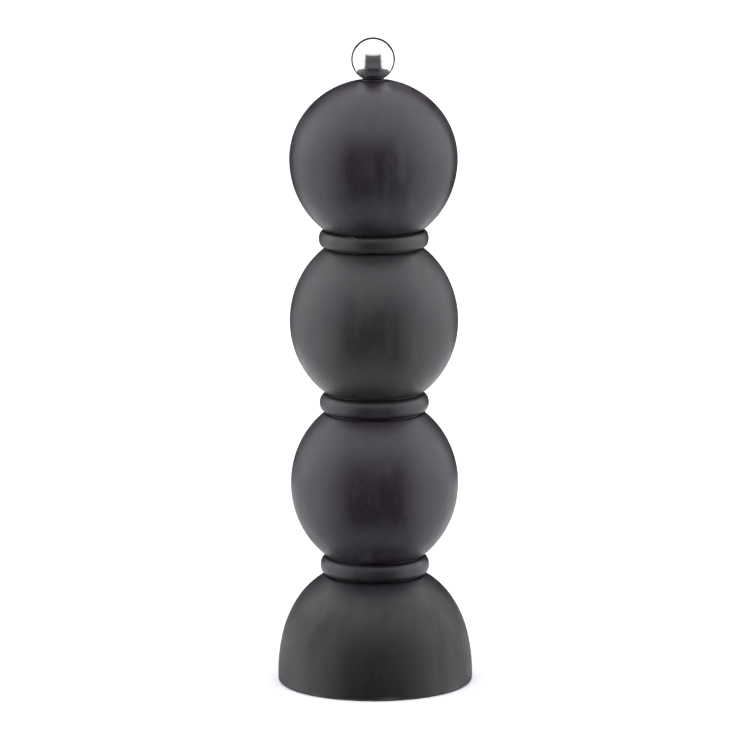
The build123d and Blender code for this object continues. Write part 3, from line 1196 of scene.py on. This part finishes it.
@dataclass
class Burrs:
    """Fixed and turning ceramic burrs with slanted teeth; a slant is in turns per metre of height."""

    throat: float = 16.2 * MM
    stator_bottom: float = 12.7 * MM
    stator_top: float = 22.0 * MM
    stator_radius: float = 15.9 * MM
    stator_bore: Place = (12.8 * MM, 11.5 * MM, 13.4 * MM)
    rotor_bottom: float = 12.9 * MM
    rotor_top: float = 22.4 * MM
    rotor_cone: Place = (12.2 * MM, 11.0 * MM, 6.9 * MM)
    rotor_bore: float = 5.45 * MM
    fine_teeth: int = 30
    rotor_ribs: int = 8
    stator_ribs: int = 12
    fine_slant: float = 9.0
    rotor_rib_slant: float = 12.0
    stator_rib_slant: float = 5.0
    fine_depth: float = 0.9 * MM
    rotor_rib_depth: float = 2.4 * MM
    stator_rib_depth: float = 1.7 * MM

    def build(self) -> None:
        """Make both burrs."""
        low, mid, high = self.stator_bore
        line = Outline().to(self.stator_radius, self.stator_bottom).to(self.stator_radius, self.stator_top, 4)
        line.to(high, self.stator_top).to(mid, self.throat, 14).to(low, self.stator_bottom, 9)
        ring = turned("fixed_burr", line.points, 360, shape=self._stator)
        show(ring, Finish.CERAMIC, Body.BODY, "stator_ring")
        low, mid, high = self.rotor_cone
        line = Outline().to(self.rotor_bore, self.rotor_bottom).to(low, self.rotor_bottom)
        line.to(mid, self.throat, 9).to(high, self.rotor_top, 16).to(self.rotor_bore, self.rotor_top)
        cone = turned("turning_burr", line.points, 360, shape=self._rotor)
        show(cone, Finish.CERAMIC, Body.SHAFT, "rotor")

    def _share(self, height: float) -> float:
        """0 in the fine teeth, 1 in the coarse ribs, changing smoothly."""
        share = min(1.0, max(0.0, (height - self.throat + 0.4 * MM) / (1.6 * MM)))
        return share * share * (3 - 2 * share)

    def _stator(self, angle: float, radius: float, height: float) -> float:
        """Teeth inside the fixed burr.

        Args:
            angle: angle round the axis.
            radius: the outline's radius there.
            height: height of the point.

        Returns:
            The radius with the teeth cut in.
        """
        if radius > self.stator_radius - 1.5 * MM:
            return radius
        climb = height - self.stator_bottom
        turns = angle / (2 * math.pi)
        fine = self.fine_depth * tooth(self.fine_teeth * (turns + self.fine_slant * climb))
        depth = min(self.stator_rib_depth, self.stator_radius - 0.5 * MM - radius)
        coarse = depth * tooth(self.stator_ribs * (turns + self.stator_rib_slant * climb))
        share = self._share(height)
        return radius + fine * (1 - share) + coarse * share

    def _rotor(self, angle: float, radius: float, height: float) -> float:
        """Teeth outside the turning burr.

        Args:
            angle: angle round the axis.
            radius: the outline's radius there.
            height: height of the point.

        Returns:
            The radius with the teeth cut in.
        """
        if radius < self.rotor_bore + 0.5 * MM:
            return radius
        climb = height - self.rotor_bottom
        turns = angle / (2 * math.pi)
        fine = self.fine_depth * tooth(-self.fine_teeth * (turns - self.fine_slant * climb))
        depth = min(self.rotor_rib_depth, 0.7 * (radius - self.rotor_bore))
        coarse = depth * tooth(-self.rotor_ribs * (turns - self.rotor_rib_slant * climb))
        share = self._share(height)
        return radius - fine * (1 - share) - coarse * share


@dataclass
class GrinderCase:
    """Housing, its screws, and the rings and bar that hold the burrs and the shaft."""

    housing_radius: float = 17.8 * MM
    housing_top: float = 33.9 * MM
    flange_radius: float = 23.6 * MM
    flange_bottom: float = 10.0 * MM
    flange_top: float = 11.95 * MM
    burr_bore: float = 15.95 * MM
    hopper: float = 14.0 * MM
    shoulder: float = 22.05 * MM
    ring_groove: Place = (11.45 * MM, 12.65 * MM, 16.9 * MM)
    retainer_outer: float = 16.8 * MM
    retainer_inner: float = 15.1 * MM
    retainer_gap: float = 12.0
    lug_inner: float = 13.7 * MM
    lug_angle: float = 7.0
    lug_slope: float = 3.0
    eye_angle: float = 3.6
    eye: float = 0.55 * MM
    eye_circle: float = 15.2 * MM
    bridge_bottom: float = 31.0 * MM
    bridge_top: float = 33.95 * MM
    bridge_hub: float = 7.0 * MM
    bridge_reach: float = 15.5 * MM
    bridge_half_width: float = 3.0 * MM
    bridge_hole: float = 4.2 * MM
    screw_circle: float = 20.9 * MM
    screw_hole: float = 1.3 * MM
    screw_mouth: float = 2.65 * MM
    screw_sink: float = 1.3 * MM

    def build(self) -> None:
        """Make the case."""
        self._housing()
        self._bridge()
        self._retaining_ring()
        WoodScrews(
            name="flange_screws",
            node="housing_screws",
            body=Body.BODY,
            head_bottom=10.05 * MM,
            head_radius=2.4 * MM,
            head_height=1.15 * MM,
            countersunk=True,
            tip=22.0 * MM,
            circle_radius=self.screw_circle,
        ).build()

    def _housing(self) -> None:
        """Sleeve with a flange, three countersunk holes and two notches for the bridge."""
        low, high, deep = self.ring_groove
        line = Outline().to(self.burr_bore, self.flange_bottom).to(self.flange_radius, self.flange_bottom)
        line.to(self.flange_radius, self.flange_top).to(self.housing_radius, self.flange_top)
        line.to(self.housing_radius, self.housing_top).to(self.hopper, self.housing_top)
        line.to(self.hopper, self.shoulder).to(self.burr_bore, self.shoulder).to(self.burr_bore, high)
        line.to(deep, high).to(deep, low).to(self.burr_bore, low)
        sleeve = turned("grinder_sleeve", line.rounded(0.25 * MM).points, 180)
        over = 0.2 * MM
        cone = [
            (self.screw_mouth, self.flange_bottom - over),
            (self.screw_hole, self.flange_bottom + self.screw_sink),
            (self.screw_hole, self.flange_top + over),
        ]
        sink = spread(turned("sink", cone, 48, closed=False), self.screw_circle, 3, 90.0)
        half, reach = self.bridge_half_width + 0.1 * MM, self.bridge_reach + 0.15 * MM
        corners = ((half, reach), (-half, reach), (-half, -reach), (half, -reach))
        levels = (self.bridge_bottom - 0.05 * MM, self.housing_top + 1.0 * MM)
        rings = [[(x, y, z) for x, y in corners] for z in levels]
        notch = piece_from("notch", skin("notch", rings, closed=False))
        show(cut(sleeve, [sink, notch]), Finish.NYLON, Body.BODY, "grinder_housing")

    def _bridge(self) -> None:
        """Bar with a round hub."""
        half, hub, reach = self.bridge_half_width, self.bridge_hub, self.bridge_reach
        root = math.degrees(math.acos(half / hub))
        tip = math.degrees(math.acos(half / reach))
        outline = [*arc(hub, -root, root, 40), *arc(reach, tip, 180 - tip, 16)]
        outline += [*arc(hub, 180 - root, 180 + root, 40), *arc(reach, 180 + tip, 360 - tip, 16)]
        loops = [outline, circle(self.bridge_hole, 64, hole=True)]
        bar = plate("bridge_bar", loops, self.bridge_bottom, self.bridge_top, 0.25 * MM)
        show(bar, Finish.ZINC, Body.BODY, "bridge")

    def _retaining_ring(self) -> None:
        """Open spring ring with two eyes for pliers."""
        low, high = self.ring_groove[0] + 0.1 * MM, self.ring_groove[1] - 0.1 * MM
        start, end = -90 + self.retainer_gap, 270 - self.retainer_gap
        lug, slope = self.lug_angle, self.lug_slope
        outline = arc(self.retainer_outer, start, end, 120)
        outline += arc(self.lug_inner, end, end - lug, 4)
        outline += arc(self.retainer_inner, end - lug - slope, start + lug + slope, 110)
        outline += arc(self.lug_inner, start + lug, start, 4)
        eyes = []
        for side in (-1, 1):
            angle = math.radians(-90 + side * (self.retainer_gap + self.eye_angle))
            place = (self.eye_circle * math.cos(angle), self.eye_circle * math.sin(angle))
            eyes.append(circle(self.eye, 20, place, hole=True))
        ring = plate("burr_retainer", [outline, *eyes], low, high, 0.1 * MM)
        show(ring, Finish.SPRING_STEEL, Body.BODY, "retaining_ring")


@dataclass
class RotorStack:
    """Spring, seat, carrier, washer and clip that hold the turning burr."""

    spring_radius: float = 5.6 * MM
    wire: float = 0.5 * MM
    spring_bottom: float = 24.0 * MM
    spring_top: float = 31.0 * MM
    spring_turns: float = 5.0
    hole: float = 4.2 * MM
    seat_radius: float = 6.8 * MM
    seat_bottom: float = 23.22 * MM
    washer_radius: float = 5.5 * MM
    washer_hole: float = 2.6 * MM
    washer: Point = (10.5 * MM, 11.25 * MM)
    clip: Point = (9.7 * MM, 10.4 * MM)
    clip_radius: float = 4.6 * MM
    clip_grip: float = 2.0
    clip_relief: float = 1.3
    clip_gap: float = 24.0
    clip_lugs: tuple[float, ...] = (90, 210, 330)
    clip_lug_half: float = 19.0
    clip_lug_blend: float = 12.0
    dead_turns: float = 0.8

    def build(self) -> None:
        """Make the stack."""
        self._spring()
        loops = [circle(self.seat_radius), circle(self.hole, 64, hole=True)]
        seat = plate("thrust_washer", loops, self.seat_bottom, self.spring_bottom, 0.12 * MM)
        show(seat, Finish.ZINC, Body.SEAT, "spring_seat")
        loops = [circle(self.washer_radius), circle(self.washer_hole, 48, hole=True)]
        washer = plate("plain_washer", loops, *self.washer, 0.1 * MM)
        show(washer, Finish.ZINC, Body.SHAFT, "clip_washer")
        self._clip()
        carry("rotor_carrier", Finish.NYLON)

    def _spring(self) -> None:
        """Coil spring with closed, ground ends, held at the bridge and at the seat."""
        steps, sides, dead = 44, 12, self.dead_turns
        close_pitch = 1.8 * self.wire
        rings = []
        count = round(self.spring_turns * steps)
        free = self.spring_top - self.spring_bottom - 2 * self.wire - 2 * dead * close_pitch
        for i in range(count + 1):
            turn = i / steps
            live = min(max(turn - dead, 0.0), self.spring_turns - 2 * dead)
            still = min(turn, dead) + max(turn - (self.spring_turns - dead), 0.0)
            height = self.spring_bottom + self.wire + still * close_pitch
            height += free * live / (self.spring_turns - 2 * dead)
            angle = 2 * math.pi * turn
            ring = []
            for j in range(sides):
                around = 2 * math.pi * j / sides
                reach = self.spring_radius + self.wire * math.cos(around)
                z = min(max(height + self.wire * math.sin(around), self.spring_bottom), self.spring_top)
                ring.append((reach * math.cos(angle), reach * math.sin(angle), z))
            rings.append(ring)
        spring = piece_from("coil_spring", skin("coil_spring", rings, closed=False), 50.0)
        spring.data.materials.append(Finish.SPRING_STEEL.material())
        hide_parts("spring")
        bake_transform(spring)
        LOG.info("coil_spring: between %s and %s", Body.SEAT.value, Body.BODY.value)

    def _clip(self) -> None:
        """Open clip with three lugs that grip the shaft's groove."""
        gap, steps = self.clip_gap, 144
        outline = arc(self.clip_radius, -90 + gap, 270 - gap, 72)
        inner: Loop = []
        for i in range(steps + 1):
            angle = 270 - 1.25 * gap - (360 - 2.5 * gap) * i / steps
            near = min(abs((angle - lug + 180) % 360 - 180) for lug in self.clip_lugs)
            blend = min(1.0, max(0.0, (near - self.clip_lug_half) / self.clip_lug_blend))
            radius = (self.clip_grip + self.clip_relief * blend * blend * (3 - 2 * blend)) * MM
            turn = math.radians(angle)
            inner.append((radius * math.cos(turn), radius * math.sin(turn)))
        clip = plate("foot_clip", [outline + inner], *self.clip, 0.08 * MM)
        show(clip, Finish.SPRING_STEEL, Body.SHAFT, "shaft_clip")


@dataclass
class Knob:
    """Polished steel ball with its threaded insert and washer."""

    radius: float = 8.0 * MM
    middle: float = 232.0 * MM
    flat: float = 224.7 * MM
    socket: float = 3.05 * MM
    insert_radius: float = 3.0 * MM
    insert_top: float = 236.0 * MM
    thread_radius: float = 2.6 * MM
    thread_top: float = 235.0 * MM
    washer: Point = (224.22 * MM, 224.68 * MM)
    washer_radius: float = 4.2 * MM
    washer_hole: float = 2.9 * MM
    axis_gap: float = 0.02 * MM
    pitch: float = 0.8 * MM
    thread_depth: float = 0.36 * MM

    def build(self) -> None:
        """Make the ball, the insert and the washer."""
        start = math.asin((self.flat - self.middle) / self.radius)
        line = Outline()
        line.ellipse((0.0, self.middle), self.radius, self.radius, start, math.pi / 2 - 0.004, 80)
        line.points.append((self.axis_gap, self.insert_top))
        line.to(self.socket, self.insert_top).to(self.socket, self.flat, 4)
        ball = turned("steel_ball", line.points, 160)
        show(ball, Finish.STEEL, Body.KNOB, "knob")
        line = Outline().to(self.insert_radius, self.flat).to(self.insert_radius, self.insert_top, 4)
        line.to(self.axis_gap, self.insert_top).to(self.axis_gap, self.thread_top)
        line.to(self.thread_radius, self.thread_top)
        line.to(self.thread_radius, self.flat + 0.3 * MM, 100).to(self.thread_radius + 0.25 * MM, self.flat)
        inset_ends = 0.2 * MM
        shape = thread(
            self.pitch, -self.thread_depth, self.flat + inset_ends, self.thread_top - inset_ends
        )
        insert = turned("threaded_insert", line.points, 64, shape=self._inside_only(shape))
        show(insert, Finish.BRASS, Body.KNOB, "knob_insert")
        loops = [circle(self.washer_radius), circle(self.washer_hole, 48, hole=True)]
        washer = plate("fibre_washer", loops, *self.washer, 0.1 * MM)
        show(washer, Finish.NYLON, Body.WASHER, "knob_washer")

    def _inside_only(self, shape: Shape) -> Shape:
        """Keep a thread off the insert's outer wall."""
        limit = self.insert_radius - 0.1 * MM
        return lambda angle, radius, height: radius if radius > limit else shape(angle, radius, height)


# ---- studio ----------------------------------------------------------------------------------


@dataclass(frozen=True)
class LightTent:
    """White fabric all round, lit from the sides and from above; the front opening stays dim.

    A direction is a unit vector, so the limits run from 0, across an axis, to 1, along it.
    """

    opening: float = 0.13
    far_sides: Place = (0.85, 0.85, 0.93)
    sides: Place = (1.44, 0.60, 0.75)
    roof: Place = (1.15, 0.34, 0.56)
    roof_middle: Place = (0.80, 0.60, 0.80)
    table: Place = (0.80, 0.72, 0.78)
    dark_back: Point = (0.66, 0.80)
    behind_sides: float = 0.55
    behind_limits: Point = (0.20, 0.50)
    behind_aside: Point = (0.40, 0.60)
    waist_dip: float = 0.25
    waist_band: Point = (-0.1, 0.35)
    seam_dip: float = 0.6
    seam_slope: float = 0.75
    seam_width: float = 0.045
    backdrop: float = 1.02
    tone: Colour = rgb(0.99, 0.985, 1.025)

    def build(self) -> None:
        """Light the scene with the tent; behind the object it shows as an even white."""
        world = bpy.data.worlds.new("light_tent")
        world.use_nodes = True
        g = Graph(world.node_tree, "Generated")
        aside = g.x.size()
        behind = g.y.step(*self.behind_limits) * aside.step(*self.behind_aside)
        glow = self.opening + behind * self.behind_sides
        bands = ((aside, self.far_sides), (aside, self.sides), (g.z, self.roof), (g.z, self.roof_middle))
        for direction, (strength, start, end) in (*bands, (0 - g.z, self.table)):
            glow = glow + direction.step(start, end) * strength
        glow = glow * (1 - g.y.step(*self.dark_back)) * (1 - self.waist_dip * g.z.band(*self.waist_band))
        seam = (g.z - aside * self.seam_slope).band(0.0, self.seam_width)
        glow = glow * (1 - self.seam_dip * seam)
        seen = g.node("ShaderNodeLightPath", {}, {}, "Is Camera Ray")
        strength = glow * (1 - seen) + seen * self.backdrop
        sheet = world.node_tree.nodes["Background"]
        sheet.inputs["Color"].default_value = self.tone
        world.node_tree.links.new(strength.socket, sheet.inputs["Strength"])
        bpy.context.scene.world = world


@dataclass
class Studio:
    """Camera, pale floor and light tent."""

    distance: float = 1.8
    height: float = 0.434
    pitch: float = 10.05
    roll: float = 0.20
    aside: float = 0.0003
    focal: float = 237.84
    floor_size: float = 14.0
    floor_tone: float = 0.88
    floor_mottle: float = 0.02
    middle_strip: float = 0.4

    def build(self) -> None:
        """Set the stage."""
        self._camera()
        self._floor()
        LightTent().build()
        bpy.context.scene.view_settings.view_transform = "Standard"

    def _camera(self) -> None:
        """Long lens from a little above, leaning slightly."""
        lens = bpy.data.cameras.new("camera")
        lens.lens = self.focal
        lens.sensor_width = 36.0
        lens.clip_end = 50.0
        view = bpy.data.objects.new("camera", lens)
        view.location = (self.aside, -self.distance, self.height)
        view.rotation_mode = "XYZ"
        look = Vector((0.0, math.cos(math.radians(self.pitch)), -math.sin(math.radians(self.pitch))))
        turn = look.to_track_quat("-Z", "Y").to_matrix()
        lean = Vector((0.0, 0.0, 1.0))
        view.rotation_euler = (turn @ Matrix.Rotation(math.radians(-self.roll), 3, lean)).to_euler()
        bpy.context.scene.collection.objects.link(view)
        bpy.context.scene.camera = view

    def _floor(self) -> None:
        """A wide pale floor in three strips, of which the mill reflects only the middle one."""
        s = Shader("pale_floor")
        tones = [rgb(tone, tone, tone) for tone in (self.floor_tone, self.floor_tone - self.floor_mottle)]
        faint = s.noise(s.stretched(3, 3), 2, 0.5)
        s.set(Base_Color=s.mix(faint, *tones), Roughness=0.9)
        half = self.floor_size / 2
        edges = (-half, 0.0, self.middle_strip, half)
        for name, near, far in zip(("front_floor", "middle_floor", "back_floor"), edges, edges[1:]):
            mesh = bpy.data.meshes.new(name)
            corners = [(-half, near, 0), (half, near, 0), (half, far, 0), (-half, far, 0)]
            mesh.from_pydata(corners, [], [(0, 1, 2, 3)])
            mesh.materials.append(s.material)
            sheet = bpy.data.objects.new(name, mesh)
            sheet.visible_glossy = name == "middle_floor"
            bpy.context.scene.collection.objects.link(sheet)


def main() -> None:
    """Build the mill and its studio."""
    logging.basicConfig(level=logging.INFO, format="%(message)s")
    Studio().build()
    TurnedBody().build()
    TurnedHead().build()
    Knob().build()
    HeadFittings().build()
    Shaft().build()
    Burrs().build()
    GrinderCase().build()
    RotorStack().build()


if __name__ == "__main__":
    main()
